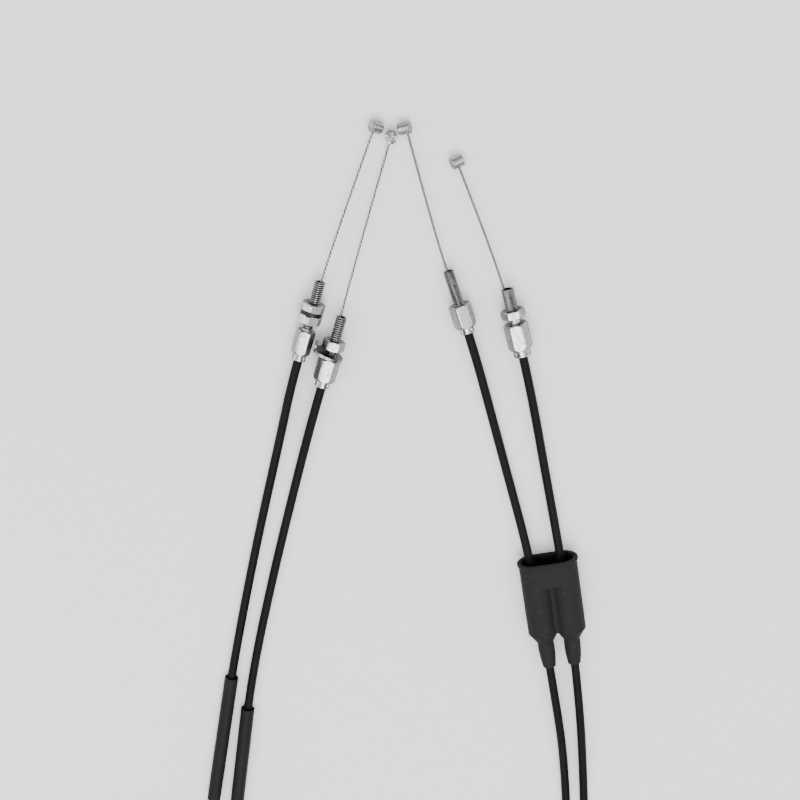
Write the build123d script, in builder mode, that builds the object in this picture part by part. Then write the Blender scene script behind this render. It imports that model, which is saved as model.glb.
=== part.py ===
"""Throttle cable pair: a pull cable and a return cable laid out flat.

Millimetres, +Z up, +Y from the loop of the cables to the nipples. The floor is z = 0.
Left ends go to the carburettor, right ends to the twist grip.
"""

import os
from math import cos, radians, sin, tan

from build123d import *

# Cable, from the outside in (diameters).
SHEATH_OD = 5.0
SHEATH_ID = 4.2
CONDUIT_OD = 4.1
CONDUIT_ID = 2.8
LINER_OD = 2.7
LINER_ID = 1.8
WIRE_OD = 1.3
REST_Z = 2.5

# Common to the four end fittings.
COUNTERBORE_R = 2.55
COUNTERBORE_DEPTH = 8.0
TIP_CHAMFER = 0.4
THREAD_R = 3.0
SHOWN_THREAD_R = 2.97
RELIEF_R = 2.6
LEAD = 14.0
DIMPLE_DEPTH = 0.25
NUT_CLEARANCE = 0.07

# Each end: foot of the collar, lean of the axis from +Y towards +X, then the sizes along it.
ENDS = {
    "pull_carb": dict(
        foot=(-49.55, 77.95, 6.95), lean=16.2, length=45.7, collar_r=3.83, collar=3.7,
        hex_af=9.5, hex_end=17.4, corner=27.0, bore_r=1.9, lead=14.0,
        spigot=[(17.4, 18.2, 3.4), (18.2, 32.7, THREAD_R), (32.7, 33.4, RELIEF_R),
                (33.4, 45.7, SHOWN_THREAD_R)],
    ),
    "return_carb": dict(
        foot=(-36.95, 62.95, 8.35), lean=16.2, length=41.3, collar_r=4.1, collar=3.7,
        hex_af=11.0, hex_end=16.8, corner=-29.0, bore_r=1.9, lead=14.0,
        spigot=[(16.8, 26.9, THREAD_R), (26.9, 27.6, RELIEF_R), (27.6, 41.3, SHOWN_THREAD_R)],
    ),
    "return_grip": dict(
        foot=(42.92, 93.3, 6.4), lean=-17.9, length=36.15, collar_r=3.9, collar=3.55,
        hex_af=11.0, hex_end=16.55, corner=-20.0, bore_r=2.1, lead=14.0,
        spigot=[(16.55, 36.15, THREAD_R)],
    ),
    "pull_grip": dict(
        foot=(72.95, 80.45, 6.95), lean=-14.0, length=38.5, collar_r=4.9, collar=4.0,
        hex_af=12.0, hex_end=18.7, corner=-35.0, bore_r=2.4, lead=18.0,
        spigot=[(18.7, 22.3, 3.3), (22.3, 26.0, 3.5), (26.0, 26.7, 3.1), (26.7, 38.5, 3.47)],
    ),
}

# Nuts: the end they sit on, start and end along its axis, across flats, corner, bore radius.
NUTS = {
    "pull_carb_inner_locknut": ("pull_carb", 21.95, 26.88, 12.0, -10.0, THREAD_R + NUT_CLEARANCE),
    "pull_carb_outer_locknut": ("pull_carb", 28.97, 33.3, 12.0, -10.0, THREAD_R + NUT_CLEARANCE),
    "return_carb_locknut": ("return_carb", 22.3, 27.5, 11.0, -29.0, THREAD_R + NUT_CLEARANCE),
    "pull_grip_locknut": ("pull_grip", 22.3, 26.6, 12.0, -28.0, 3.5 + NUT_CLEARANCE),
}
WASHER_R = 6.1
WASHER_SPAN = (26.9, 28.95)
TAB_WASHER_R = 8.7
TAB_WASHER_AT = 18.6
TAB_WASHER_LEAN = 24.0
TAB_WASHER_OFFSET = 1.8
TAB_WASHER_HOLE_R = 3.4
TAB_THICKNESS = 1.5
TAB_HALF_WIDTH = 2.6
TAB_RISE = 5.7

# Free wires: points past the fitting's counterbore, up to the nipple.
WIRE_START = COUNTERBORE_DEPTH + 0.1
FREE_WIRES = {
    "pull_carb": [(-36.5, 122.0, 6.95), (-23.96, 158.8, 6.3)],
    "return_carb": [(-26.2, 102.5, 8.35), (-11.8, 154.4, 6.2)],
    "return_grip": [(31.1, 127.7, 6.4), (21.6, 158.8, 5.5)],
    "pull_grip": [(62.25, 117.9, 6.95), (48.8, 154.4, 5.7)],
}

# Nipples: centre, heading of the barrel axis from +X, rise of that axis, shift of the socket.
NIPPLE_R = 3.25
NIPPLE_LENGTH = 6.5
NIPPLE_CHAMFER = 0.35
SOCKET_R = 0.7
SOCKET_STOP = 1.2
NIPPLES = {
    "pull_carb": ((-6.5, 204.8, 4.75), -21.3, -32.0, -0.9),
    "return_carb": ((1.3, 199.05, 3.3), 0.0, 90.0, 0.0),
    "return_grip": ((8.4, 204.0, 4.15), 16.6, 17.0, 0.9),
    "pull_grip": ((35.9, 186.4, 4.25), 22.0, -20.0, 0.0),
}

# Ways of the two housings between the leads of their fittings.
PULL_WAY = [
    (-60.6, 32.0, REST_Z), (-76.0, -34.0, REST_Z), (-90.4, -104.0, 3.4), (-101.8, -170.0, 3.4),
    (-112.6, -242.0, 3.4), (-100.0, -295.0, REST_Z), (-57.0, -338.0, REST_Z),
    (6.0, -352.0, REST_Z), (66.8, -336.0, REST_Z), (107.0, -294.0, REST_Z),
    (119.5, -240.0, REST_Z), (116.5, -188.0, 3.2), (111.9, -137.0, 9.2), (103.5, -75.0, 9.2),
    (96.4, -34.0, 6.2), (87.5, 11.0, 3.0),
]
RETURN_WAY = [
    (-50.2, 13.5, REST_Z), (-66.3, -51.0, REST_Z), (-80.6, -116.0, 3.4), (-88.5, -172.0, 3.4),
    (-97.5, -244.0, 3.4), (-84.0, -292.0, REST_Z), (-44.0, -322.0, REST_Z),
    (12.0, -331.0, REST_Z), (66.0, -318.0, REST_Z), (96.0, -280.0, REST_Z),
    (108.5, -228.0, REST_Z), (104.0, -172.0, 3.5), (97.9, -135.0, 9.2), (87.0, -75.0, 9.2),
    (77.6, -32.0, 6.2), (67.4, 5.0, 3.0), (56.3, 46.0, REST_Z),
]

# Boot over both cables below the twist grip.
BOOT_MOUTH = (89.76, -40.73, 9.2)
BOOT_LEAN = 9.0
BOOT_SPACING = 16.6
BOOT_R = 8.4
BOOT_BORE_R = 6.7
BOOT_LIP_R = 9.2
BOOT_LIP = 1.8
BOOT_OVAL = 15.1
BOOT_LEDGE = 1.7
BOOT_BODY = 45.6
BOOT_ROOF = 44.0
BOOT_WEB = 8.4
BOOT_RIDGE = (0.9, 9.4)
NECK_PROFILE = [(8.4, 0.0), (4.7, 6.0), (4.8, 9.5), (4.75, 13.0), (4.5, 16.5), (4.1, 19.8), (3.75, 22.4)]
NECK_BORE_R = 3.1
NECK_OFFSET = 7.8
NECKS = {-1: 10.3, 1: 7.7}

# Loose sleeves: top of the axis, lean of its run away from -Y, length.
SLEEVE_OD = 8.0
SLEEVE_ID = 6.9
SLEEVES = {
    "pull_sleeve": ((-93.0, -119.4, 4.0), 9.3, 84.0),
    "return_sleeve": ((-84.1, -140.1, 4.0), 7.5, 70.0),
}


def heading(lean):
    """Return the horizontal unit vector that leans from +Y towards +X."""
    return Vector(sin(radians(lean)), cos(radians(lean)), 0)


def at(end, distance):
    """Return the point on an end's axis at a distance from its foot."""
    return Vector(*end["foot"]) + heading(end["lean"]) * distance


def across(end, distance):
    """Return the plane square to an end's axis, local y up."""
    lean = radians(end["lean"])
    return Plane(origin=at(end, distance), x_dir=(-cos(lean), sin(lean), 0), z_dir=heading(end["lean"]))


def along(end):
    """Return the plane through an end's axis, local x the radius, local y the distance."""
    lean = radians(end["lean"])
    return Plane(origin=end["foot"], x_dir=(cos(lean), -sin(lean), 0), z_dir=(0, 0, 1))


def axis_of(end):
    """Return the axis of an end, from its foot to its tip."""
    return Axis(Vector(*end["foot"]), heading(end["lean"]))


def hexagon(flats, corner):
    """Return hexagon corners, one of them at the given angle from straight up."""
    reach = flats / 2 / cos(radians(30))
    angles = [radians(90 + corner + 60 * turn) for turn in range(6)]
    return [(reach * cos(angle), reach * sin(angle)) for angle in angles]


def turned(flats, start, end, low, high):
    """Return the half outline that takes the corners off both ends of a hexagon."""
    reach = flats / 2 / cos(radians(30)) + 0.05
    face = flats / 2 - 0.1
    return [(0, start), (face, start), (reach, start + low), (reach, end - high), (face, end), (0, end)]


def bend_radii(points):
    """Return the bend radius at each inner point of a way."""
    found = []
    for before, corner, after in zip(points, points[1:], points[2:]):
        first = Vector(*corner) - Vector(*before)
        second = Vector(*after) - Vector(*corner)
        turn = radians(first.get_angle(second))
        found.append(0.45 * min(first.length, second.length) / tan(turn / 2))
    return found


def make_tube(points, outer, inner):
    """Return a tube or a wire bent along a way."""
    with BuildPart() as tube:
        with BuildLine() as path:
            FilletPolyline(*points, radius=bend_radii(points))
        with BuildSketch(Plane(origin=path.line @ 0, z_dir=path.line % 0)):
            Circle(outer / 2)
            if inner:
                Circle(inner / 2, mode=Mode.SUBTRACT)
        sweep(path=path.wires()[0])
    return tube


def make_fitting(end):
    """Return one end fitting: crimped collar, hexagon and threaded spigot, bored through."""
    with BuildPart() as fitting:
        with BuildSketch(across(end, end["collar"])):
            with BuildLine():
                Polyline(*hexagon(end["hex_af"], end["corner"]), close=True)
            make_face()
        extrude(amount=end["hex_end"] - end["collar"])
        with BuildSketch(along(end)):
            with BuildLine():
                Polyline(*turned(end["hex_af"], end["collar"], end["hex_end"], 2.0, 1.0), close=True)
            make_face()
        revolve(axis=axis_of(end), mode=Mode.INTERSECT)
        outline = [(0, 0), (end["collar_r"] - 0.2, 0), (end["collar_r"], 0.2)]
        outline += [(end["collar_r"], end["collar"] + 0.3), (end["hex_af"] / 2 - 1.2, end["collar"] + 0.3)]
        for start, stop, radius in end["spigot"]:
            outline += [(radius, start), (radius, stop)]
        outline[-1] = (outline[-1][0], end["length"] - TIP_CHAMFER)
        outline += [(outline[-1][0] - TIP_CHAMFER, end["length"]), (0, end["length"])]
        with BuildSketch(along(end)):
            with BuildLine():
                Polyline(*outline, close=True)
            make_face()
        revolve(axis=axis_of(end))
        with BuildSketch(across(end, 0)):
            Circle(COUNTERBORE_R)
        extrude(amount=COUNTERBORE_DEPTH, mode=Mode.SUBTRACT)
        with BuildSketch(across(end, COUNTERBORE_DEPTH)):
            Circle(end["bore_r"])
        extrude(amount=end["length"], mode=Mode.SUBTRACT)
        ring = across(end, end["collar"] * 0.52)
        for turn in range(6):
            angle = radians(60 * turn + 30)
            out = ring.x_dir * cos(angle) + ring.y_dir * sin(angle)
            with BuildSketch(Plane(origin=ring.origin + out * end["collar_r"], x_dir=ring.z_dir, z_dir=out)):
                Rectangle(1.7, 1.9)
            extrude(amount=-DIMPLE_DEPTH, mode=Mode.SUBTRACT)
    return fitting


def make_nut(end, start, stop, flats, corner, bore_r):
    """Return a hexagon nut with turned corners at both faces."""
    with BuildPart() as nut:
        with BuildSketch(across(end, start)):
            with BuildLine():
                Polyline(*hexagon(flats, corner), close=True)
            make_face()
        extrude(amount=stop - start)
        with BuildSketch(along(end)):
            with BuildLine():
                Polyline(*turned(flats, start, stop, 0.7, 0.7), close=True)
            make_face()
        revolve(axis=axis_of(end), mode=Mode.INTERSECT)
        with BuildSketch(across(end, start)):
            Circle(bore_r)
        extrude(amount=stop - start, mode=Mode.SUBTRACT)
    return nut


def wire_points(name):
    """Return the way of a free wire and the direction in which it enters its nipple."""
    centre, turn, rise, shift = NIPPLES[name]
    barrel = barrel_axis(turn, rise)
    socket = Vector(*centre) + barrel * shift
    last = Vector(*FREE_WIRES[name][-1])
    inward = (socket - last).normalized()
    start = at(ENDS[name], WIRE_START)
    middle = [Vector(*point) for point in FREE_WIRES[name]]
    points = [start, *middle, socket - inward * SOCKET_STOP]
    return [(point.X, point.Y, point.Z) for point in points], socket, inward


def barrel_axis(turn, rise):
    """Return the unit vector of a nipple's barrel."""
    flat = cos(radians(rise))
    return Vector(flat * cos(radians(turn)), flat * sin(radians(turn)), sin(radians(rise)))


def make_nipple(name):
    """Return a barrel nipple with chamfered rims and a socket for its wire."""
    centre, turn, rise, shift = NIPPLES[name]
    points, socket, inward = wire_points(name)
    with BuildPart() as nipple:
        with BuildSketch(Plane(origin=Vector(*centre), z_dir=barrel_axis(turn, rise))):
            Circle(NIPPLE_R)
        extrude(amount=NIPPLE_LENGTH / 2, both=True)
        chamfer(nipple.edges().filter_by(GeomType.CIRCLE), NIPPLE_CHAMFER)
        with BuildSketch(Plane(origin=socket - inward * SOCKET_STOP, z_dir=-inward)):
            Circle(SOCKET_R)
        extrude(amount=NIPPLE_R + 2, mode=Mode.SUBTRACT)
    return nipple


def boot_plane(distance):
    """Return the plane square to the boot's axis, local y up, z away from the fittings."""
    lean = radians(BOOT_LEAN)
    down = Vector(sin(lean), -cos(lean), 0)
    return Plane(origin=Vector(*BOOT_MOUTH) + down * distance, x_dir=(cos(lean), sin(lean), 0), z_dir=down)


def neck_plane(side):
    """Return the plane through a neck's axis, local x the radius, local y away from the body."""
    base = boot_plane(BOOT_BODY)
    lean = radians(NECKS[side])
    start = base.origin + base.x_dir * (side * NECK_OFFSET)
    return Plane(origin=start, x_dir=(-cos(lean), -sin(lean), 0), z_dir=(0, 0, 1))


def ways():
    """Return the full way of each housing, lead to lead."""
    found = {}
    for cable, middle in (("pull", PULL_WAY), ("return", RETURN_WAY)):
        left = ENDS[cable + "_carb"]
        right = ENDS[cable + "_grip"]
        corners = [at(left, COUNTERBORE_DEPTH), at(left, -left["lead"])]
        corners += [Vector(*point) for point in middle]
        corners += [at(right, -right["lead"]), at(right, COUNTERBORE_DEPTH)]
        found[cable] = [(point.X, point.Y, point.Z) for point in corners]
    return found


def save(builder, name):
    """Label a node and write it out."""
    builder.part.label = name
    export_step(builder.part, f"parts/{name}.step")


os.makedirs("parts", exist_ok=True)

for cable, points in ways().items():
    save(make_tube(points, SHEATH_OD, SHEATH_ID), f"{cable}_sheath")
    save(make_tube(points, CONDUIT_OD, CONDUIT_ID), f"{cable}_conduit")
    save(make_tube(points, LINER_OD, LINER_ID), f"{cable}_liner")
    save(make_tube(points, WIRE_OD, 0), f"{cable}_core_wire")

for name, end in ENDS.items():
    save(make_fitting(end), f"{name}_fitting")
    save(make_tube(wire_points(name)[0], WIRE_OD, 0), f"{name}_wire")
    save(make_nipple(name), f"{name}_nipple")

for name, (end, start, stop, flats, corner, bore_r) in NUTS.items():
    save(make_nut(ENDS[end], start, stop, flats, corner, bore_r), name)

with BuildPart() as rubber_washer:
    with BuildSketch(across(ENDS["pull_carb"], WASHER_SPAN[0])):
        Circle(WASHER_R)
        Circle(THREAD_R + NUT_CLEARANCE, mode=Mode.SUBTRACT)
    extrude(amount=WASHER_SPAN[1] - WASHER_SPAN[0])
save(rubber_washer, "pull_carb_rubber_washer")

washer_lean = radians(TAB_WASHER_LEAN)
seat = Plane(
    origin=at(ENDS["return_carb"], TAB_WASHER_AT) - heading(TAB_WASHER_LEAN) * (TAB_THICKNESS / 2),
    x_dir=(-cos(washer_lean), sin(washer_lean), 0),
    z_dir=heading(TAB_WASHER_LEAN),
)
with BuildPart() as tab_washer:
    with BuildSketch(seat):
        with Locations((TAB_WASHER_OFFSET, 0)):
            Circle(TAB_WASHER_R)
    extrude(amount=TAB_THICKNESS)
    edge = seat.origin + seat.x_dir * (TAB_WASHER_OFFSET + TAB_WASHER_R)
    with BuildSketch(Plane(origin=edge, x_dir=(0, 0, 1), z_dir=seat.x_dir)):
        with BuildLine():
            Polyline((-TAB_HALF_WIDTH, 0), (TAB_HALF_WIDTH, 0), (2.1, TAB_RISE - 2.4), (0.3, TAB_RISE),
                     (-0.3, TAB_RISE), (-2.1, TAB_RISE - 2.4), close=True)
        make_face()
    extrude(amount=-TAB_THICKNESS)
    with BuildSketch(seat):
        Circle(TAB_WASHER_HOLE_R)
    extrude(amount=TAB_RISE, mode=Mode.SUBTRACT)
save(tab_washer, "return_carb_tab_washer")

with BuildPart() as boot:
    with BuildSketch(boot_plane(0)):
        SlotCenterToCenter(BOOT_SPACING, 2 * BOOT_R)
    extrude(amount=BOOT_OVAL)
    with BuildSketch(boot_plane(0)):
        SlotCenterToCenter(BOOT_SPACING, 2 * BOOT_LIP_R)
    extrude(amount=BOOT_LIP)
    with BuildSketch(boot_plane(BOOT_OVAL)):
        with Locations((-BOOT_SPACING / 2, 0), (BOOT_SPACING / 2, 0)):
            Circle(BOOT_R)
        Rectangle(BOOT_SPACING, BOOT_WEB)
        Rectangle(*BOOT_RIDGE)
    extrude(amount=BOOT_BODY - BOOT_OVAL)
    for side in (-1, 1):
        with BuildSketch(neck_plane(side)):
            with BuildLine():
                Polyline((0, -1.0), (NECK_PROFILE[0][0] - 0.6, -1.0), *NECK_PROFILE,
                         (0, NECK_PROFILE[-1][1]), close=True)
            make_face()
        revolve(axis=Axis(neck_plane(side).origin, neck_plane(side).y_dir))
    with BuildSketch(boot_plane(0)):
        SlotCenterToCenter(BOOT_SPACING, 2 * BOOT_BORE_R)
    extrude(amount=BOOT_OVAL - BOOT_LEDGE, mode=Mode.SUBTRACT)
    with BuildSketch(boot_plane(BOOT_OVAL - BOOT_LEDGE)):
        with Locations((-BOOT_SPACING / 2, 0), (BOOT_SPACING / 2, 0)):
            Circle(BOOT_BORE_R)
    extrude(amount=BOOT_ROOF - BOOT_OVAL + BOOT_LEDGE, mode=Mode.SUBTRACT)
    for side in (-1, 1):
        neck = neck_plane(side)
        with BuildSketch(Plane(origin=neck.origin - neck.y_dir * 2.5, x_dir=(0, 0, 1), z_dir=neck.y_dir)):
            Circle(NECK_BORE_R)
        extrude(amount=NECK_PROFILE[-1][1] + 5, mode=Mode.SUBTRACT)
save(boot, "grip_boot")

for name, (top, lean, length) in SLEEVES.items():
    away = Vector(-sin(radians(lean)), -cos(radians(lean)), 0)
    with BuildPart() as sleeve:
        with BuildSketch(Plane(origin=top, x_dir=(0, 0, 1), z_dir=away)):
            Circle(SLEEVE_OD / 2)
            Circle(SLEEVE_ID / 2, mode=Mode.SUBTRACT)
        extrude(amount=length)
    save(sleeve, name)
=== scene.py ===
"""Looks for a pair of throttle cables: pull and return, laid flat on a pale floor.

Every length in a dataclass field is in millimetres; meshes and curves are made in metres.
"""

from __future__ import annotations

import logging
import math
from collections.abc import Sequence
from dataclasses import dataclass, field
from enum import Enum
from typing import Any

import bpy
from mathutils import Matrix, Vector, noise


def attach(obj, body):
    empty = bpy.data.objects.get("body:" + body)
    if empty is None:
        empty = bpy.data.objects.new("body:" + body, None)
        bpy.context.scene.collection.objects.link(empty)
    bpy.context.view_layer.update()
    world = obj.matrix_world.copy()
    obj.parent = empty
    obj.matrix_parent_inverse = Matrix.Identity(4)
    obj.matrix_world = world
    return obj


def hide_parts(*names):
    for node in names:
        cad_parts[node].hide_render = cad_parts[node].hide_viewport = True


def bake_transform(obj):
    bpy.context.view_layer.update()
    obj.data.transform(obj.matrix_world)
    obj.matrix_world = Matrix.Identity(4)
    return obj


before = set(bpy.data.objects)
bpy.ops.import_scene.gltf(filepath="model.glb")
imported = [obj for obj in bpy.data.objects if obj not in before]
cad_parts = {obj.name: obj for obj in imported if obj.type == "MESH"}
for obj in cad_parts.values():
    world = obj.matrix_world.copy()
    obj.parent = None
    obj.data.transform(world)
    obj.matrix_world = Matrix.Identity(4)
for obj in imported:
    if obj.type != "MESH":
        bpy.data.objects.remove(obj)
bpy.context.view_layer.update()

MM = 0.001
LOG = logging.getLogger("throttle_cables")
Ring = list[Vector]
Point = tuple[float, float, float]


# ---------------------------------------------------------------- shader maths


class Sheet:
    """One material's node tree, with the few calls that build it."""

    def __init__(self, name: str) -> None:
        """Start a material that holds only its output and a Principled shader.

        Args:
            name: Name of the material.
        """
        self.material = bpy.data.materials.new(name)
        self.material.use_nodes = True
        self.tree = self.material.node_tree
        self.shader = self.tree.nodes["Principled BSDF"]

    def add(
        self,
        kind: str,
        settings: dict[str, Any] | None = None,
        inputs: dict[str | int, Any] | None = None,
    ) -> bpy.types.Node:
        """Add a node, its settings first and its sockets after.

        Args:
            kind: Blender's type name of the node.
            settings: Properties of the node; "stops" sets a ramp's (position, grey) pairs.
            inputs: Socket values or links, by name or index.

        Returns:
            The new node.
        """
        node = self.tree.nodes.new(kind)
        for name, value in (settings or {}).items():
            if name == "stops":
                self._set_stops(node, value)
            else:
                setattr(node, name, value)
        for name, value in (inputs or {}).items():
            self.feed(node.inputs[name], value)
        return node

    @staticmethod
    def _set_stops(node: bpy.types.Node, stops: Sequence[tuple[float, float]]) -> None:
        """Give a ramp its grey stops, the first and last of which it already has."""
        elements = node.color_ramp.elements
        while len(elements) < len(stops):
            elements.new(0.5)
        for element, (position, grey) in zip(elements, stops):
            element.position = position
            element.color = (grey, grey, grey, 1)

    def feed(self, socket: bpy.types.NodeSocket, value: Any) -> None:
        """Link a socket to a reading or another socket, or set its value.

        Args:
            socket: The input to feed.
            value: A Reading, an output socket, a number or a sequence.
        """
        if isinstance(value, Reading):
            self.tree.links.new(value.socket, socket)
        elif isinstance(value, bpy.types.NodeSocket):
            self.tree.links.new(value, socket)
        else:
            socket.default_value = value

    def place(self) -> bpy.types.NodeSocket:
        """Return the point on the surface, in metres."""
        return self.add("ShaderNodeTexCoord").outputs["Object"]

    def grain(self, size: float, detail: float = 3.0, stretch: Point = (1, 1, 1)) -> Reading:
        """Return a cloudy noise from 0 to 1.

        Args:
            size: Size of one cloud.
            detail: How many finer layers it has.
            stretch: Scale of the pattern along each axis.

        Returns:
            The noise as a reading.
        """
        spread = self.add("ShaderNodeMapping", None, {"Vector": self.place(), "Scale": stretch})
        inputs = {"Vector": spread.outputs[0], "Scale": 1 / (size * MM), "Detail": detail}
        return Reading(self, self.add("ShaderNodeTexNoise", None, inputs).outputs["Fac"])

    def recess(self) -> Reading:
        """Return how deep in a recess the surface is, which the mesh holds; it masks painted shade."""
        node = self.add("ShaderNodeAttribute", {"attribute_name": "recess"})
        return Reading(self, node.outputs["Fac"])

    def ramp(self, value: Reading, stops: Sequence[tuple[float, float]]) -> Reading:
        """Return a reading passed through a grey ramp."""
        node = self.add("ShaderNodeValToRGB", {"stops": stops}, {"Fac": value})
        return Reading(self, node.outputs["Color"])

    def blend_colours(self, mask: Reading, low: Any, high: Any) -> bpy.types.NodeSocket:
        """Return a colour between two, each a triple or a socket, by a mask."""
        ends = [(*end, 1) if isinstance(end, tuple) else end for end in (low, high)]
        inputs = {0: mask, 6: ends[0], 7: ends[1]}
        return self.add("ShaderNodeMix", {"data_type": "RGBA"}, inputs).outputs[2]

    def relief(self, height: Reading, depth: float, strength: float = 1.0) -> None:
        """Feed the shader's normal with a bump.

        Args:
            height: The height as a reading.
            depth: Depth of the relief at a height of 1.
            strength: How much of the relief shows.
        """
        inputs = {"Height": height, "Distance": depth * MM, "Strength": strength}
        bump = self.add("ShaderNodeBump", None, inputs)
        self.feed(self.shader.inputs["Normal"], bump.outputs["Normal"])


class Reading:
    """A single number that varies over a surface and takes part in arithmetic."""

    def __init__(self, sheet: Sheet, socket: bpy.types.NodeSocket) -> None:
        """Wrap an output socket of a sheet."""
        self.sheet = sheet
        self.socket = socket

    def _join(self, operation: str, first: Any, second: Any) -> Reading:
        """Add one Math node on two operands and return its result."""
        node = self.sheet.add("ShaderNodeMath", {"operation": operation}, {0: first, 1: second})
        return Reading(self.sheet, node.outputs[0])

    def __add__(self, other: Reading | float) -> Reading:
        """Return self + other."""
        return self._join("ADD", self, other)

    def __radd__(self, other: float) -> Reading:
        """Return other + self."""
        return self._join("ADD", other, self)

    def __sub__(self, other: Reading | float) -> Reading:
        """Return self - other."""
        return self._join("SUBTRACT", self, other)

    def __rsub__(self, other: float) -> Reading:
        """Return other - self."""
        return self._join("SUBTRACT", other, self)

    def __mul__(self, other: Reading | float) -> Reading:
        """Return self * other."""
        return self._join("MULTIPLY", self, other)

    def __rmul__(self, other: float) -> Reading:
        """Return other * self."""
        return self._join("MULTIPLY", other, self)


# ---------------------------------------------------------------- finishes


@dataclass(frozen=True)
class Finish:
    """A finish: the record's slot and the colour, common to every kind."""

    slot: str
    colour: Point

    def material(self) -> bpy.types.Material:
        """Return the finish as a material, made once."""
        found = bpy.data.materials.get(f"{self.slot}_look")
        return found if found else self._make()

    def _make(self) -> bpy.types.Material:
        """Build the material."""
        raise NotImplementedError


@dataclass(frozen=True)
class PlatedMetal(Finish):
    """Bright plated or bare metal with a little mottle and fine scratches, and painted shade in its
    recesses.
    """

    dull: Point = (0.5, 0.5, 0.49)
    gloss: tuple[float, float] = (0.2, 0.34)
    # Colour of the painted shade in recesses.
    painted_shade: Point = (0.03, 0.03, 0.029)
    edge_tint: Point = (0.4, 0.4, 0.4)
    cloud: float = 2.2
    pit: float = 0.02

    def _make(self) -> bpy.types.Material:
        """Build metal whose tint, roughness and relief wander, and whose colour darkens with painted shade
        where the mesh marks a recess.
        """
        sheet = Sheet(f"{self.slot}_look")
        clouds = sheet.grain(self.cloud)
        speckle = sheet.grain(0.35, 4.0)
        sheet.shader.inputs["Metallic"].default_value = 1.0
        sheet.shader.inputs["Specular Tint"].default_value = (*self.edge_tint, 1)
        tint = sheet.ramp(clouds * 0.7 + speckle * 0.3, [(0.36, 0.0), (0.66, 1.0)])
        open_metal = sheet.blend_colours(tint, self.dull, self.colour)
        # Painted shade: the colour darkens towards near-black by the mesh's recess mask.
        shaded = sheet.blend_colours(sheet.recess(), open_metal, self.painted_shade)
        sheet.feed(sheet.shader.inputs["Base Color"], shaded)
        low, high = self.gloss
        sheet.feed(sheet.shader.inputs["Roughness"], low + (1 - tint) * (high - low))
        sheet.relief(speckle, self.pit)
        return sheet.material


@dataclass(frozen=True)
class ExtrudedPlastic(Finish):
    """Black extruded plastic with a soft sheen and slight scuffs."""

    scuff: Point = (0.05, 0.05, 0.052)
    gloss: tuple[float, float] = (0.36, 0.5)
    shine: float = 0.5

    def _make(self) -> bpy.types.Material:
        """Build plastic with a faint scuffed tint and uneven gloss."""
        sheet = Sheet(f"{self.slot}_look")
        sheet.shader.inputs["Specular IOR Level"].default_value = self.shine
        clouds = sheet.grain(14.0)
        fine = sheet.grain(0.6, 4.0)
        scuffs = sheet.ramp(clouds * 0.6 + fine * 0.4, [(0.48, 0.0), (0.8, 1.0)])
        sheet.feed(sheet.shader.inputs["Base Color"], sheet.blend_colours(scuffs, self.colour, self.scuff))
        low, high = self.gloss
        sheet.feed(sheet.shader.inputs["Roughness"], low + clouds * (high - low))
        sheet.relief(fine, 0.03)
        return sheet.material


@dataclass(frozen=True)
class MouldedRubber(Finish):
    """Matt rubber with a mould grain, pale dust specks and painted shade in its hollows."""

    dust: Point = (0.07, 0.07, 0.069)
    # Colour of the painted shade in hollows.
    hollow_shade: Point = (0.001, 0.001, 0.001)
    speck: float = 1.1
    rough: tuple[float, float] = (0.62, 0.8)
    shine: float = 0.12

    def _make(self) -> bpy.types.Material:
        """Build rubber with sparse dust over a fine grain, darkened with painted shade where the mesh marks
        a recess.
        """
        sheet = Sheet(f"{self.slot}_look")
        sheet.shader.inputs["Specular IOR Level"].default_value = self.shine
        clouds = sheet.grain(9.0)
        fine = sheet.grain(0.5, 5.0)
        specks = sheet.grain(self.speck, 2.0)
        dusty = sheet.ramp(specks * 0.8 + clouds * 0.2, [(0.62, 0.0), (0.7, 1.0)])
        outside = sheet.blend_colours(dusty * 0.5, self.colour, self.dust)
        # Painted shade: the colour darkens towards near-black by the mesh's recess mask.
        shaded = sheet.blend_colours(sheet.recess(), outside, self.hollow_shade)
        sheet.feed(sheet.shader.inputs["Base Color"], shaded)
        low, high = self.rough
        sheet.feed(sheet.shader.inputs["Roughness"], low + clouds * (high - low))
        sheet.relief(fine, 0.05)
        return sheet.material


ZINC = PlatedMetal("zinc_plate", (0.43, 0.43, 0.42), dull=(0.27, 0.27, 0.265), gloss=(0.2, 0.32))
NUT_ZINC = PlatedMetal("nut_plate", (0.42, 0.42, 0.41), dull=(0.27, 0.27, 0.265), gloss=(0.22, 0.34))
WASHER_ZINC = PlatedMetal("washer_plate", (0.34, 0.34, 0.34), dull=(0.14, 0.14, 0.14), gloss=(0.24, 0.36))
STRAND = PlatedMetal(
    "cable_wire", (0.55, 0.54, 0.52), dull=(0.36, 0.355, 0.34), gloss=(0.26, 0.4), pit=0.005
)
OILED_STRAND = PlatedMetal(
    "oiled_wire", (0.36, 0.36, 0.355), dull=(0.22, 0.22, 0.216), gloss=(0.3, 0.42), pit=0.005
)
CAST = PlatedMetal(
    "nipple_metal", (0.6, 0.6, 0.59), dull=(0.22, 0.22, 0.215), gloss=(0.24, 0.44), cloud=1.2, pit=0.06
)
CONDUIT = PlatedMetal("conduit", (0.5, 0.5, 0.5), dull=(0.35, 0.35, 0.35), gloss=(0.35, 0.5))
SHEATH = ExtrudedPlastic(
    "sheath", (0.004, 0.004, 0.0042), scuff=(0.008, 0.008, 0.0082), gloss=(0.5, 0.62), shine=0.1
)
SLEEVE = ExtrudedPlastic(
    "sleeve", (0.011, 0.011, 0.0112), scuff=(0.019, 0.019, 0.0194), gloss=(0.5, 0.64), shine=0.1
)
LINER = ExtrudedPlastic("liner", (0.75, 0.74, 0.7), scuff=(0.8, 0.79, 0.75), gloss=(0.4, 0.5))
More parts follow.
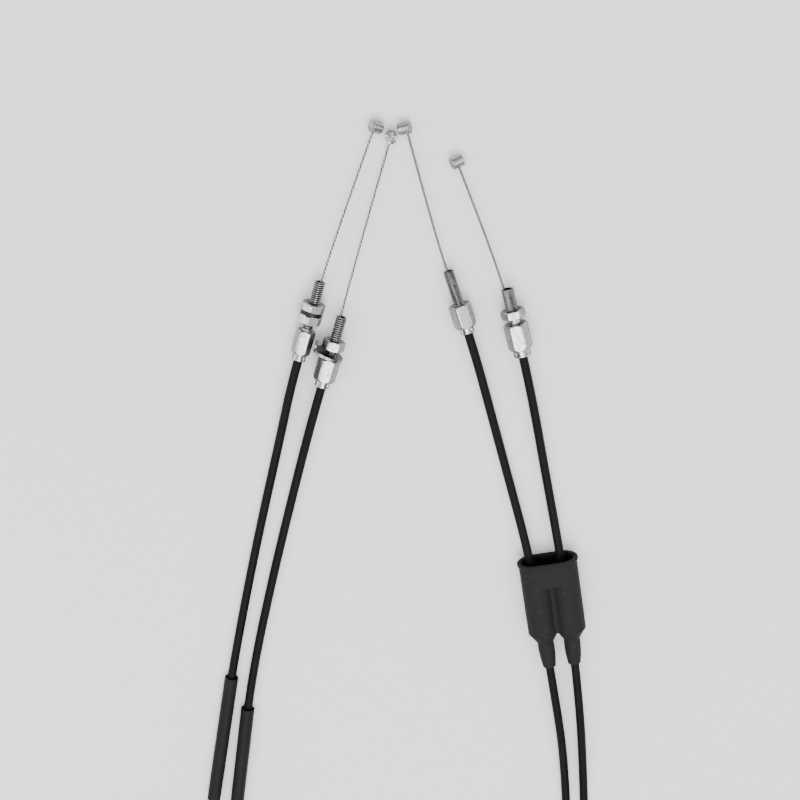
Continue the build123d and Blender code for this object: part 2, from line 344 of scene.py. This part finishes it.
BOOT_RUBBER = MouldedRubber("boot_rubber", (0.014, 0.014, 0.0142))
WASHER_RUBBER = MouldedRubber(
    "washer_rubber", (0.005, 0.005, 0.005), speck=0.7, rough=(0.34, 0.44), shine=0.28
)


# ---------------------------------------------------------------- turned pieces


class Form(Enum):
    """What one stretch of a turned piece looks like from outside."""

    ROUND = "round"
    HEXAGON = "hexagon"
    THREAD = "thread"
    CRIMP = "crimp"


@dataclass(frozen=True)
class Stretch:
    """One stretch along a turned piece.

    A hexagon's radius is half its width across flats. Low and high are the lengths of the
    cones at its two ends, or of a round stretch's chamfers.
    """

    form: Form
    start: float
    stop: float
    radius: float
    low: float = 0.0
    high: float = 0.0
    flat: float | None = None
    phase: float = 0.0

    PITCH = 1.18
    RINGS_A_TURN = 10
    THREAD_DEPTH = 0.46
    RUN_IN = 0.5
    RUN_OUT = 0.4
    LEAD_CHAMFER = 0.2
    LEAD_LENGTH = 0.3
    FLAT_DEPTH = 0.5
    # Fixed painted shade on the milled flat of a thread.
    FLAT_SHADE = 0.15
    CORNER_EASE = 0.13
    FACE_EASE = 0.1
    DIMPLES = 6
    DIMPLE_HALF_ANGLE = 13
    DIMPLE_DEPTH = 0.28
    # Fixed painted shade in the crimp dimples.
    DIMPLE_SHADE = 0.45

    def stations(self) -> list[float]:
        """Return the distances at which rings are laid."""
        ends = [self.start, self.stop]
        if self.form is Form.THREAD:
            count = math.ceil((self.stop - self.start) / (self.PITCH / self.RINGS_A_TURN))
            return [self.start + (self.stop - self.start) * step / count for step in range(count + 1)]
        if self.form is Form.CRIMP:
            middle = (self.start + self.stop) / 2
            ends += [middle + offset for offset in (-1.05, -0.9, 0.9, 1.05)]
        if self.low:
            ends += [self.start + self.low * step / 12 for step in range(1, 13)]
        if self.high:
            ends += [self.stop - self.high * step / 8 for step in range(1, 9)]
        return sorted(set(ends))

    def radius_at(self, distance: float, angle: float, corner: float) -> tuple[float, float]:
        """Return the radius of the outside and how deep in a recess it is, which sets how much painted
        shade it gets.

        Args:
            distance: Distance along the axis.
            angle: Angle about the axis, in degrees.
            corner: Angle of one hexagon corner, in degrees.

        Returns:
            The radius, and a recess from 0 to 1 that darkens the colour as painted shade.
        """
        into = distance - self.start
        left = self.stop - distance
        if self.form is Form.THREAD:
            turn = ((distance + self.phase) / self.PITCH - angle / 360) % 1.0
            fade = max(0.0, min(1.0, into / self.RUN_IN, left / self.RUN_OUT))
            wave = min(1.0, max(0.0, abs(2 * turn - 1) * 1.6 - 0.3))
            tip = self.LEAD_CHAMFER * max(0.0, 1 - left / self.LEAD_LENGTH)
            radius = self.radius - self.THREAD_DEPTH * wave * fade - tip
            if self.flat is not None:
                across = math.cos(math.radians(angle - self.flat))
                flat = (self.radius - self.FLAT_DEPTH) / max(across, 0.2)
                if flat < radius:
                    return flat, self.FLAT_SHADE
            # Painted shade: thread valleys darken with their depth.
            return radius, wave * fade
        if self.form is Form.HEXAGON:
            near = (angle - corner + 30) % 60 - 30
            reach = self.radius / math.cos(math.radians(30))
            side = self.radius / math.cos(math.radians(30 - abs(near)))
            limit = reach - self.CORNER_EASE
            face = self.radius - self.FACE_EASE
            if self.low and into < self.low:
                limit = min(limit, face + (reach - face) * math.sin(into / self.low * math.pi / 2))
            if self.high and left < self.high:
                limit = min(limit, face + (reach - face) * math.sin(left / self.high * math.pi / 2))
            return min(side, limit), 0.0
        radius = self.radius
        recess = 0.0
        if self.form is Form.CRIMP:
            middle = abs(distance - (self.start + self.stop) / 2)
            spacing = 360 / self.DIMPLES
            off = abs((angle + spacing / 2) % spacing - spacing / 2)
            if middle < 1.0 and off < self.DIMPLE_HALF_ANGLE:
                radius -= self.DIMPLE_DEPTH
                recess = self.DIMPLE_SHADE
        if self.low and into < self.low:
            radius -= self.low - into
        if self.high and left < self.high:
            radius -= self.high - left
        return radius, recess


def ring_angles(corner: float) -> list[float]:
    """Return angles round a turned piece, crowded at the corners of its hexagon."""
    steps = [-1.5] + [1.5 + 4.75 * step for step in range(12)]
    return [corner + 60 * side + step for side in range(6) for step in steps]


def skin(rings: Sequence[Ring], closed: bool) -> tuple[list[Vector], list[tuple[int, ...]]]:
    """Join rings of equal count into a surface.

    Args:
        rings: Rings in order along the surface.
        closed: Join the last ring to the first; otherwise cap both ends with a fan.

    Returns:
        The vertices and the faces.
    """
    count = len(rings[0])
    points = [point for ring in rings for point in ring]
    faces: list[tuple[int, ...]] = []
    spans = len(rings) if closed else len(rings) - 1
    for row in range(spans):
        here = row * count
        there = (row + 1) % len(rings) * count
        for step in range(count):
            after = (step + 1) % count
            faces.append((here + step, here + after, there + after, there + step))
    if not closed:
        for ring, turned_over in ((0, True), (len(rings) - 1, False)):
            centre = sum(rings[ring], Vector()) / count
            points.append(centre)
            hub = len(points) - 1
            for step in range(count):
                edge = (ring * count + step, ring * count + (step + 1) % count)
                faces.append((*(reversed(edge) if turned_over else edge), hub))
    return points, faces


def make_mesh(
    name: str,
    points: Sequence[Vector],
    faces: Sequence[tuple[int, ...]],
    finish: Finish,
    crease: float = 28.0,
    recess: Sequence[float] | None = None,
) -> bpy.types.Object:
    """Make a mesh object in the part's frame.

    Args:
        name: Name of the piece.
        points: Vertices in metres.
        faces: Faces as vertex indices.
        finish: Finish of the piece.
        crease: Edges sharper than this angle, in degrees, stay sharp.
        recess: How deep in a recess each vertex is, from 0 to 1, which sets its painted shade.

    Returns:
        The new object.
    """
    mesh = bpy.data.meshes.new(name)
    mesh.from_pydata([tuple(point) for point in points], [], list(faces))
    if recess is not None:
        mesh.attributes.new("recess", "FLOAT", "POINT").data.foreach_set("value", list(recess))
    mesh.validate()
    mesh.shade_smooth()
    mesh.set_sharp_from_angle(angle=math.radians(crease))
    mesh.materials.append(finish.material())
    piece = bpy.data.objects.new(name, mesh)
    bpy.context.scene.collection.objects.link(piece)
    return piece


@dataclass(frozen=True)
class Bench:
    """Where a turned piece stands: its foot and its lean from +Y towards +X."""

    foot: Point
    lean: float

    def axis(self) -> Vector:
        """Return the unit vector from foot to tip."""
        return Vector((math.sin(math.radians(self.lean)), math.cos(math.radians(self.lean)), 0))

    def at(self, distance: float) -> Vector:
        """Return a point on the axis, in metres."""
        return (Vector(self.foot) + self.axis() * distance) * MM

    def spot(self, radius: float, angle: float, distance: float) -> Vector:
        """Return a point off the axis; 0 degrees is to the left of it and 90 is up."""
        left = Vector((-math.cos(math.radians(self.lean)), math.sin(math.radians(self.lean)), 0))
        turn = math.radians(angle)
        return self.at(distance) + (left * math.cos(turn) + Vector((0, 0, math.sin(turn)))) * radius * MM


@dataclass
class TurnedPiece:
    """A turned or milled piece with a stepped bore, as one closed skin."""

    name: str
    bench: Bench
    stretches: tuple[Stretch, ...]
    bore: tuple[tuple[float, float], ...]
    corner: float
    finish: Finish

    def build(self) -> bpy.types.Object:
        """Build the piece.

        Returns:
            The mesh object, in place.
        """
        angles = ring_angles(90 + self.corner)
        rings: list[Ring] = []
        recess: list[float] = []
        for stretch in self.stretches:
            for distance in stretch.stations():
                found = [stretch.radius_at(distance, angle, 90 + self.corner) for angle in angles]
                rings.append([self.bench.spot(r, a, distance) for (r, _), a in zip(found, angles)])
                recess += [depth for _, depth in found]
        for index, (radius, distance) in enumerate(self.bore):
            rings.append([self.bench.spot(radius, angle, distance) for angle in angles])
            # Painted shade: the walls of the bore are fully darkened, its rims at the two faces are not.
            recess += [0.0 if index in (0, len(self.bore) - 1) else 1.0] * len(angles)
        points, faces = skin(rings, closed=True)
        return make_mesh(self.name, points, faces, self.finish, recess=recess)


# ---------------------------------------------------------------- cable runs


def way_points(points: Sequence[Point], step: float) -> list[Vector]:
    """Return points along the quadratic spline that a list of control points makes.

    Args:
        points: Control points, in millimetres.
        step: Spacing along the spline.

    Returns:
        Points in metres, evenly enough spaced.
    """
    ends = [Vector(point) for point in points]
    joints = [ends[0]]
    joints += [(ends[i] + ends[i + 1]) / 2 for i in range(1, len(ends) - 2)]
    joints.append(ends[-1])
    found = [joints[0] * MM]
    for start, knee, stop in zip(joints, ends[1:], joints[1:]):
        count = max(2, round(((knee - start).length + (stop - knee).length) / step))
        for index in range(1, count + 1):
            t = index / count
            found.append((start * (1 - t) ** 2 + knee * 2 * t * (1 - t) + stop * t * t) * MM)
    return found


def run_length(points: Sequence[Vector]) -> float:
    """Return the length along a list of points."""
    return sum((after - before).length for before, after in zip(points, points[1:]))


@dataclass
class Housing:
    """One housing: sheath, conduit, liner and core wire on a single spline."""

    cable: str
    way: tuple[Point, ...]
    sheath: float = 5.0
    conduit: float = 4.1
    liner: float = 2.7
    wire: float = 1.3

    def build(self) -> None:
        layers = {
            "conduit": (self.conduit, CONDUIT),
            "liner": (self.liner, LINER),
            "core_wire": (self.wire, STRAND),
        }
        inside = [self._layer(layer, diameter, finish) for layer, (diameter, finish) in layers.items()]
        outside = self._layer("sheath", self.sheath, SHEATH)
        line = way_points(self.way, 2.0)
        run_length(line)
        self.sheath * MM
        LOG.info("%s housing: %.0f mm long", self.cable, run_length(line) / MM)

    def _layer(self, layer: str, diameter: float, finish: Finish) -> bpy.types.Object:
        """Build one layer as a round spline and return it."""
        data = bpy.data.curves.new(f"{self.cable}_{layer}_run", "CURVE")
        data.dimensions = "3D"
        data.resolution_u = 12
        data.bevel_depth = diameter / 2 * MM
        data.bevel_resolution = 7
        data.use_fill_caps = layer != "sheath"
        spline = data.splines.new("NURBS")
        spline.points.add(len(self.way) - 1)
        for point, place in zip(spline.points, self.way):
            point.co = (*(Vector(place) * MM), 1)
        spline.order_u = 3
        spline.use_endpoint_u = True
        piece = bpy.data.objects.new(data.name, data)
        bpy.context.scene.collection.objects.link(piece)
        data.materials.append(finish.material())
        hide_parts(f"{self.cable}_{layer}")
        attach(piece, "cables")
        return piece


@dataclass
class FreeWire:
    """A bare stranded wire from inside a fitting to its nipple."""

    end: str
    way: tuple[Point, ...]
    exit: Vector
    blend_from: Vector
    blend_to: Vector
    nipple: bpy.types.Object
    finish: PlatedMetal
    lay: float
    strands: int
    diameter: float = 1.3
    sides: int = 10
    overlap: float = 1.04

    def build(self) -> None:
        line = way_points(self.way, 0.4)
        points: list[Vector] = []
        faces: list[tuple[int, ...]] = []
        recess: list[float] = []
        strand_r = self.diameter / 2 / (1 + 1 / math.sin(math.pi / self.strands)) * MM * self.overlap
        reach = self.diameter / 2 * MM - strand_r
        travelled = [0.0]
        for before, after in zip(line, line[1:]):
            travelled.append(travelled[-1] + (after - before).length)
        for strand in range(self.strands + 1):
            rings = []
            for index, centre in enumerate(line):
                along = (line[min(index + 1, len(line) - 1)] - line[max(index - 1, 0)]).normalized()
                side = along.cross(Vector((0, 0, 1))).normalized()
                up = side.cross(along)
                turn = math.tau * (travelled[index] / (self.lay * MM) + strand / self.strands)
                offset = (side * math.cos(turn) + up * math.sin(turn)) * reach
                if strand == self.strands:
                    offset = Vector()
                ring = []
                for step in range(self.sides):
                    angle = math.tau * step / self.sides
                    out = side * math.cos(angle) + up * math.sin(angle)
                    ring.append(centre + offset + out * strand_r)
                    # Painted shade: each strand darkens on the side turned from the wire's outside, and the
                    # core strand is fully dark.
                    facing = out.dot(offset.normalized()) if offset.length > 0 else -1.0
                    recess.append(min(1.0, max(0.0, (0.9 - facing) * 1.5)))
                rings.append(ring)
            skin_points, skin_faces = skin(rings, closed=False)
            base = len(points)
            points += skin_points
            # Painted shade: the strands' end caps are half darkened.
            recess += [0.5] * (len(skin_points) - len(rings) * self.sides)
            faces += [tuple(base + corner for corner in face) for face in skin_faces]
        wire = make_mesh(f"{self.end}_strands", points, faces, self.finish, crease=60, recess=recess)
        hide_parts(f"{self.end}_wire")
        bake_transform(wire)
        run_length(line)
        self.diameter * MM
        LOG.info("%s wire: %.0f mm long", self.end, run_length(line) / MM)


@dataclass
class Nipple:
    """A barrel nipple soldered to the end of a wire."""

    end: str
    centre: Point
    turn: float
    rise: float
    radius: float = 3.25
    length: float = 6.5
    chamfer: float = 0.35
    solder: float = 0.12
    sides: int = 56
    dish: float = 0.15

    def axis(self) -> Vector:
        """Return the unit vector along the barrel."""
        turn = math.radians(self.turn)
        rise = math.radians(self.rise)
        flat = math.cos(rise)
        return Vector((flat * math.cos(turn), flat * math.sin(turn), math.sin(rise)))

    def build(self) -> bpy.types.Object:
        """Build the barrel, its far face rough with solder.

        Returns:
            The mesh object, riding with its wire's end.
        """
        axis = self.axis()
        side = axis.orthogonal().normalized()
        up = axis.cross(side)
        half = self.length / 2
        outline = [(self.radius * share, -half) for share in (0.2, 0.45, 0.7)]
        outline += [(self.radius - self.chamfer, -half), (self.radius, -half + self.chamfer)]
        outline += [(self.radius, -half + self.chamfer + 0.7 * step) for step in range(1, 8)]
        outline += [(self.radius, half - self.chamfer), (self.radius - self.chamfer, half)]
        outline += [(self.radius * share, half) for share in (0.8, 0.68, 0.55, 0.42, 0.3, 0.16)]
        rings = []
        for radius, distance in outline:
            ring = []
            for index in range(self.sides):
                turn = math.tau * index / self.sides
                point = side * math.cos(turn) * radius + up * math.sin(turn) * radius + axis * distance
                rough = noise.noise(point * 0.9 + Vector(self.centre)) * self.solder
                fine = noise.noise(point * 2.3 + Vector(self.centre)) * self.solder * 0.5
                inner = min(1.0, max(0.0, (self.radius - radius) / 0.7)) if distance > 0 else 0.0
                point = point - axis * inner * (self.dish + abs(rough) * 3 + fine) * (self.solder / 0.12)
                point = point - point.normalized() * abs(rough) * 0.35
                ring.append((Vector(self.centre) + point) * MM)
            rings.append(ring)
        points, faces = skin(rings, closed=False)
        piece = make_mesh(f"{self.end}_barrel", points, faces, CAST, crease=35)
        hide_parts(f"{self.end}_nipple")
        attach(piece, f"{self.end}_inner")
        LOG.info("%s nipple built", self.end)
        return piece


# ---------------------------------------------------------------- the four ends


@dataclass
class Nut:
    """A hexagon nut on an end's thread."""

    name: str
    body: str
    start: float
    stop: float
    flats: float
    corner: float
    bore: float


@dataclass
class CableEnd:
    """One end of a cable: fitting, nuts, bare wire and nipple."""

    name: str
    bench: Bench
    length: float
    collar: Stretch
    hexagon: Stretch
    spigot: tuple[Stretch, ...]
    corner: float
    bore: float
    wire: tuple[Point, ...]
    nipple: Nipple
    shift: float
    nuts: tuple[Nut, ...] = ()
    counterbore: float = 2.55
    depth: float = 8.0
    nut_ease: float = 0.3
    tip_ease: float = 0.25
    mouth_ease: float = 0.15

    def build(self) -> None:
        """Build the fitting, then what is on it."""
        tip, mouth = self.tip_ease, self.mouth_ease
        bore = ((self.bore + tip, self.length), (self.bore, self.length - tip), (self.bore, self.depth),
                (self.counterbore, self.depth), (self.counterbore, mouth),
                (self.counterbore + mouth, 0.0))
        stretches = (self.collar, self.hexagon, *self.spigot)
        fitting = TurnedPiece(f"{self.name}_spigot", self.bench, stretches, bore, self.corner, ZINC).build()
        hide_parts(f"{self.name}_fitting")
        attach(fitting, "cables")
        for nut in self.nuts:
            self._build_nut(nut)
        self._build_wire(self.nipple.build())
        LOG.info("%s end built", self.name)

    def _build_nut(self, nut: Nut) -> None:
        """Build one nut, its bore eased at both faces."""
        shape = Stretch(Form.HEXAGON, nut.start, nut.stop, nut.flats / 2, 0.75, 0.75)
        ease = self.nut_ease
        bore = ((nut.bore + ease, nut.stop), (nut.bore, nut.stop - ease),
                (nut.bore, nut.start + ease), (nut.bore + ease, nut.start))
        piece = TurnedPiece(f"{nut.name}_hex", self.bench, (shape,), bore, nut.corner, NUT_ZINC).build()
        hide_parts(nut.name)
        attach(piece, nut.body)

    def _build_wire(self, barrel: bpy.types.Object) -> None:
        """Build the bare wire from inside the spigot to the nipple's socket."""
        nipple = self.nipple
        socket = Vector(nipple.centre) + nipple.axis() * self.shift
        inward = (socket - Vector(self.wire[-1])).normalized()
        start = self.bench.at(max(self.depth + 0.1, self.length - 30)) / MM
        way = (tuple(start), *self.wire, tuple(socket - inward * 1.2))
        mouth = self.bench.at(self.length - 2)
        near = (socket - inward * (nipple.radius + 1)) * MM
        finish, lay, strands = (OILED_STRAND, 8.0, 6) if "grip" in self.name else (STRAND, 7.0, 3)
        leaves = self.bench.at(self.length - 8)
        FreeWire(self.name, way, leaves, mouth, near, barrel, finish, lay, strands).build()


@dataclass
class RubberWasher:
    """The rubber washer between two nuts."""

    name: str
    body: str
    bench: Bench
    start: float
    stop: float
    radius: float
    bore: float

    def build(self) -> None:
        """Build the washer with eased rims."""
        rim = Stretch(Form.ROUND, self.start, self.stop, self.radius, 0.25, 0.25)
        bore = ((self.bore, self.stop), (self.bore, self.start))
        piece = TurnedPiece(f"{self.name}_ring", self.bench, (rim,), bore, 0.0, WASHER_RUBBER).build()
        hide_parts(self.name)
        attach(piece, self.body)


@dataclass
class Sleeve:
    """A loose plastic sleeve over a housing."""

    name: str
    body: str
    top: Point
    lean: float
    length: float
    outer: float = 4.0
    inner: float = 3.45

    def build(self) -> None:
        """Build the sleeve from its open top."""
        bench = Bench(self.top, 180 + self.lean)
        wall = Stretch(Form.ROUND, 0.0, self.length, self.outer, 0.12, 0.12)
        bore = ((self.inner, self.length), (self.inner, 0.0))
        piece = TurnedPiece(f"{self.name}_tube", bench, (wall,), bore, 0.0, SLEEVE).build()
        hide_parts(self.name)
        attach(piece, self.body)
        LOG.info("%s built", self.name)


@dataclass
class Boot:
    """The twin rubber boot, softened from its hard-edged form."""

    node: str = "grip_boot"
    body: str = "boot"
    mouth: Point = (89.76, -40.73, 9.2)
    lean: float = 9.0
    reach: float = 8.3
    cell: float = 0.36
    rounds: int = 5
    shade_depth: float = 3.0

    def build(self) -> None:
        """Build the boot as one closed skin with soft edges."""
        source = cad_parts[self.node]
        copy = bpy.data.objects.new("boot_form", source.data.copy())
        bpy.context.scene.collection.objects.link(copy)
        remesh = copy.modifiers.new("even", "REMESH")
        remesh.mode = "VOXEL"
        remesh.voxel_size = self.cell * MM
        soften = copy.modifiers.new("soft", "SMOOTH")
        soften.factor = 0.5
        soften.iterations = self.rounds
        held = copy.evaluated_get(bpy.context.evaluated_depsgraph_get())
        mesh = bpy.data.meshes.new_from_object(held)
        bpy.data.objects.remove(copy)
        mesh.name = "boot_skin"
        mesh.shade_smooth()
        self._mark_inside(mesh)
        mesh.materials.clear()
        mesh.materials.append(BOOT_RUBBER.material())
        boot = bpy.data.objects.new("boot_skin", mesh)
        bpy.context.scene.collection.objects.link(boot)
        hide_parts(self.node)
        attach(boot, self.body)
        LOG.info("boot: %d faces", len(mesh.polygons))

    def _mark_inside(self, mesh: bpy.types.Mesh) -> None:
        """Mark the walls of the cavity for painted shade, darker the deeper they lie.

        Args:
            mesh: The boot's skin, in the part's frame.
        """
        lean = math.radians(self.lean)
        across = Vector((math.cos(lean), math.sin(lean), 0))
        along = Vector((math.sin(lean), -math.cos(lean), 0))
        mouth = Vector(self.mouth) * MM
        marks = []
        for vertex in mesh.vertices:
            off = vertex.co - mouth
            side = off.dot(across)
            hub = max(-self.reach * MM, min(self.reach * MM, side))
            spoke = off - along * off.dot(along) - across * hub
            depth = off.dot(along) / MM
            inward = vertex.normal.dot(spoke.normalized()) < -0.3
            marks.append(min(1.0, max(0.0, depth / self.shade_depth)) if inward else 0.0)
        # Painted shade: the cavity's walls darken with depth from the mouth.
        mesh.attributes.new("recess", "FLOAT", "POINT").data.foreach_set("value", marks)


# ---------------------------------------------------------------- studio


@dataclass(frozen=True)
class Lamp:
    """A soft rectangular light aimed at the middle of the part."""

    name: str
    place: Point
    width: float
    height: float
    power: float

    def build(self, target: Vector) -> None:
        """Build the lamp and aim it at the target."""
        data = bpy.data.lights.new(self.name, "AREA")
        data.shape = "RECTANGLE"
        data.size = self.width
        data.size_y = self.height
        data.energy = self.power
        lamp = bpy.data.objects.new(self.name, data)
        lamp.location = self.place
        lamp.rotation_euler = (target - Vector(self.place)).to_track_quat("-Z", "Y").to_euler()
        bpy.context.scene.collection.objects.link(lamp)


@dataclass
class Studio:
    """Camera, pale floor and soft light; the floor's and the lamps' sizes are in metres."""

    target: Point = (6.0, 52.0, 0.0)
    tilt: float = 19.5
    distance: float = 911.0
    lens: float = 73.8
    sensor: float = 36.0
    sky: float = 2.2
    floor_half: float = 4.0
    floor_drop: float = 0.0002
    lamps: tuple[Lamp, ...] = (
        Lamp("key", (0.05, -0.5, 1.5), 0.9, 0.8, 16.0),
        Lamp("left_strip", (-0.95, 0.05, 0.48), 0.12, 1.3, 4.5),
        Lamp("right_strip", (1.0, 0.05, 0.5), 0.1, 1.3, 3.5),
    )

    def build(self) -> None:
        """Build the whole studio."""
        self._camera()
        self._floor()
        self._surround()
        for lamp in self.lamps:
            lamp.build(Vector(self.target) * MM)
        LOG.info("studio built")

    def _camera(self) -> None:
        """Stand the camera over the part, tilted from straight down towards -Y."""
        tilt = math.radians(self.tilt)
        back = Vector((0, math.sin(tilt), math.cos(tilt)))
        up = Vector((0, math.cos(tilt), -math.sin(tilt)))
        data = bpy.data.cameras.new("camera")
        data.sensor_width = self.sensor
        data.lens = self.lens
        data.clip_start = 0.01
        data.clip_end = 20
        camera = bpy.data.objects.new("camera", data)
        turn = Matrix((Vector((1, 0, 0)), up, back)).transposed()
        place = (Vector(self.target) + back * self.distance) * MM
        camera.matrix_world = Matrix.Translation(place) @ turn.to_4x4()
        bpy.context.scene.collection.objects.link(camera)
        bpy.context.scene.camera = camera

    def _floor(self) -> None:
        """Lay a white floor under the part."""
        half = self.floor_half
        corners = [(-half, -half, 0), (half, -half, 0), (half, half, 0), (-half, half, 0)]
        mesh = bpy.data.meshes.new("floor")
        mesh.from_pydata(corners, [], [(0, 1, 2, 3)])
        sheet = Sheet("floor_white")
        sheet.shader.inputs["Base Color"].default_value = (0.93, 0.93, 0.93, 1)
        sheet.shader.inputs["Roughness"].default_value = 0.9
        mesh.materials.append(sheet.material)
        floor = bpy.data.objects.new("floor", mesh)
        floor.location = (0, 0, -self.floor_drop)
        bpy.context.scene.collection.objects.link(floor)

    def _surround(self) -> None:
        """Light the part from a pale sky that darkens towards its edge."""
        world = bpy.data.worlds.new("surround")
        world.use_nodes = True
        tree = world.node_tree
        background = tree.nodes["Background"]
        coords = tree.nodes.new("ShaderNodeTexCoord")
        split = tree.nodes.new("ShaderNodeSeparateXYZ")
        ramp = tree.nodes.new("ShaderNodeValToRGB")
        ramp.color_ramp.elements[0].color = (0.08, 0.08, 0.082, 1)
        ramp.color_ramp.elements[0].position = 0.4
        ramp.color_ramp.elements[1].color = (1, 1, 1, 1)
        ramp.color_ramp.elements[1].position = 0.9
        tree.links.new(coords.outputs["Generated"], split.inputs[0])
        tree.links.new(split.outputs["Z"], ramp.inputs["Fac"])
        tree.links.new(ramp.outputs["Color"], background.inputs["Color"])
        background.inputs["Strength"].default_value = self.sky
        bpy.context.scene.world = world


# ---------------------------------------------------------------- the cable pair

PULL_CARB = Bench((-49.55, 77.95, 6.95), 16.2)
RETURN_CARB = Bench((-36.95, 62.95, 8.35), 16.2)
RETURN_GRIP = Bench((42.92, 93.3, 6.4), -17.9)
PULL_GRIP = Bench((72.95, 80.45, 6.95), -14.0)
THREAD_BORE = 3.07


def lead(bench: Bench, distance: float) -> Point:
    """Return a point on an end's axis, in millimetres."""
    return tuple(bench.at(distance) / MM)


def cable_ends() -> tuple[CableEnd, ...]:
    """Return the four ends with their sizes."""
    return (
        CableEnd(
            "pull_carb", PULL_CARB, 45.7,
            Stretch(Form.CRIMP, 0.0, 3.7, 3.83, 0.25, 0.2),
            Stretch(Form.HEXAGON, 3.7, 17.4, 4.75, 2.4, 1.2),
            (Stretch(Form.ROUND, 17.4, 18.2, 3.4, 0.0, 0.15), Stretch(Form.THREAD, 18.2, 45.7, 3.0)),
            27.0, 1.9, ((-36.5, 122.0, 6.95), (-23.96, 158.8, 6.3)),
            Nipple("pull_carb", (-6.5, 204.8, 4.75), -21.3, -32.0), -0.9,
            (
                Nut(
                    "pull_carb_inner_locknut", "pull_carb_inner_nut",
                    21.95, 26.88, 12.0, -10.0, THREAD_BORE,
                ),
                Nut(
                    "pull_carb_outer_locknut", "pull_carb_outer_nut",
                    28.97, 33.3, 12.0, -10.0, THREAD_BORE,
                ),
            ),
        ),
        CableEnd(
            "return_carb", RETURN_CARB, 41.3,
            Stretch(Form.CRIMP, 0.0, 3.7, 4.1, 0.25, 0.2),
            Stretch(Form.HEXAGON, 3.7, 16.8, 5.5, 2.2, 1.0),
            (Stretch(Form.THREAD, 16.8, 41.3, 3.0),),
            -29.0, 1.9, ((-26.2, 102.5, 8.35), (-11.8, 154.4, 6.2)),
            Nipple("return_carb", (1.3, 199.05, 3.3), 0.0, 90.0, solder=0.2), 0.0,
            (Nut("return_carb_locknut", "return_carb_nut", 22.3, 27.5, 11.0, -29.0, THREAD_BORE),),
        ),
        CableEnd(
            "return_grip", RETURN_GRIP, 36.15,
            Stretch(Form.CRIMP, 0.0, 3.55, 3.9, 0.25, 0.2),
            Stretch(Form.HEXAGON, 3.55, 16.55, 5.5, 2.0, 1.0),
            (Stretch(Form.THREAD, 16.55, 36.15, 3.0, phase=0.3),),
            -20.0, 2.1, ((31.1, 127.7, 6.4), (21.6, 158.8, 5.5)),
            Nipple("return_grip", (8.4, 204.0, 4.15), 16.6, 17.0), 0.9,
        ),
        CableEnd(
            "pull_grip", PULL_GRIP, 38.5,
            Stretch(Form.CRIMP, 0.0, 4.0, 4.9, 0.3, 0.25),
            Stretch(Form.HEXAGON, 4.0, 18.7, 6.0, 2.2, 1.2),
            (Stretch(Form.ROUND, 18.7, 22.3, 3.3), Stretch(Form.THREAD, 22.3, 38.5, 3.5, flat=68.0)),
            -35.0, 2.4, ((62.25, 117.9, 6.95), (48.8, 154.4, 5.7)),
            Nipple("pull_grip", (35.9, 186.4, 4.25), 22.0, -20.0), 0.0,
            (Nut("pull_grip_locknut", "pull_grip_nut", 22.3, 26.6, 12.0, -28.0, 3.57),),
        ),
    )


@dataclass
class CablePair:
    """The pull cable and the return cable."""

    pull_way: tuple[Point, ...] = (
        lead(PULL_CARB, 8), lead(PULL_CARB, -14),
        (-60.6, 32.0, 2.5), (-76.0, -34.0, 2.5), (-90.4, -104.0, 3.4), (-101.8, -170.0, 3.4),
        (-112.6, -242.0, 3.4), (-100.0, -295.0, 2.5), (-57.0, -338.0, 2.5), (6.0, -352.0, 2.5),
        (66.8, -336.0, 2.5), (107.0, -294.0, 2.5), (119.5, -240.0, 2.5), (116.5, -188.0, 3.2),
        (111.9, -137.0, 9.2), (103.5, -75.0, 9.2), (96.4, -34.0, 6.2), (87.5, 11.0, 3.0),
        lead(PULL_GRIP, -18), lead(PULL_GRIP, 8),
    )
    return_way: tuple[Point, ...] = (
        lead(RETURN_CARB, 8), lead(RETURN_CARB, -14),
        (-50.2, 13.5, 2.5), (-66.3, -51.0, 2.5), (-80.6, -116.0, 3.4), (-88.5, -172.0, 3.4),
        (-97.5, -244.0, 3.4), (-84.0, -292.0, 2.5), (-44.0, -322.0, 2.5), (12.0, -331.0, 2.5),
        (66.0, -318.0, 2.5), (96.0, -280.0, 2.5), (108.5, -228.0, 2.5), (104.0, -172.0, 3.5),
        (97.9, -135.0, 9.2), (87.0, -75.0, 9.2), (77.6, -32.0, 6.2), (67.4, 5.0, 3.0),
        (56.3, 46.0, 2.5), lead(RETURN_GRIP, -14), lead(RETURN_GRIP, 8),
    )
    ends: tuple[CableEnd, ...] = field(default_factory=cable_ends)

    def build(self) -> None:
        """Build both cables and everything on them."""
        Housing("pull", self.pull_way).build()
        Housing("return", self.return_way).build()
        for end in self.ends:
            end.build()
        RubberWasher(
            "pull_carb_rubber_washer", "pull_carb_inner_nut", PULL_CARB, 26.9, 28.95, 6.1, THREAD_BORE
        ).build()
        self._dress_tab_washer()
        Boot().build()
        Sleeve("pull_sleeve", "pull_tube", (-93.0, -119.4, 4.0), 9.3, 84.0).build()
        Sleeve("return_sleeve", "return_tube", (-84.1, -140.1, 4.0), 7.5, 70.0).build()

    def _dress_tab_washer(self) -> None:
        """Give the tab washer eased edges and its finish."""
        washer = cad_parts["return_carb_tab_washer"]
        washer.data.materials.clear()
        washer.data.materials.append(WASHER_ZINC.material())
        ease = washer.modifiers.new("ease", "BEVEL")
        ease.width = 0.15 * MM
        ease.segments = 2
        ease.limit_method = "ANGLE"


def main() -> None:
    """Build the studio and the cable pair."""
    logging.basicConfig(level=logging.INFO, format="%(message)s")
    Studio().build()
    CablePair().build()


if __name__ == "__main__":
    main()
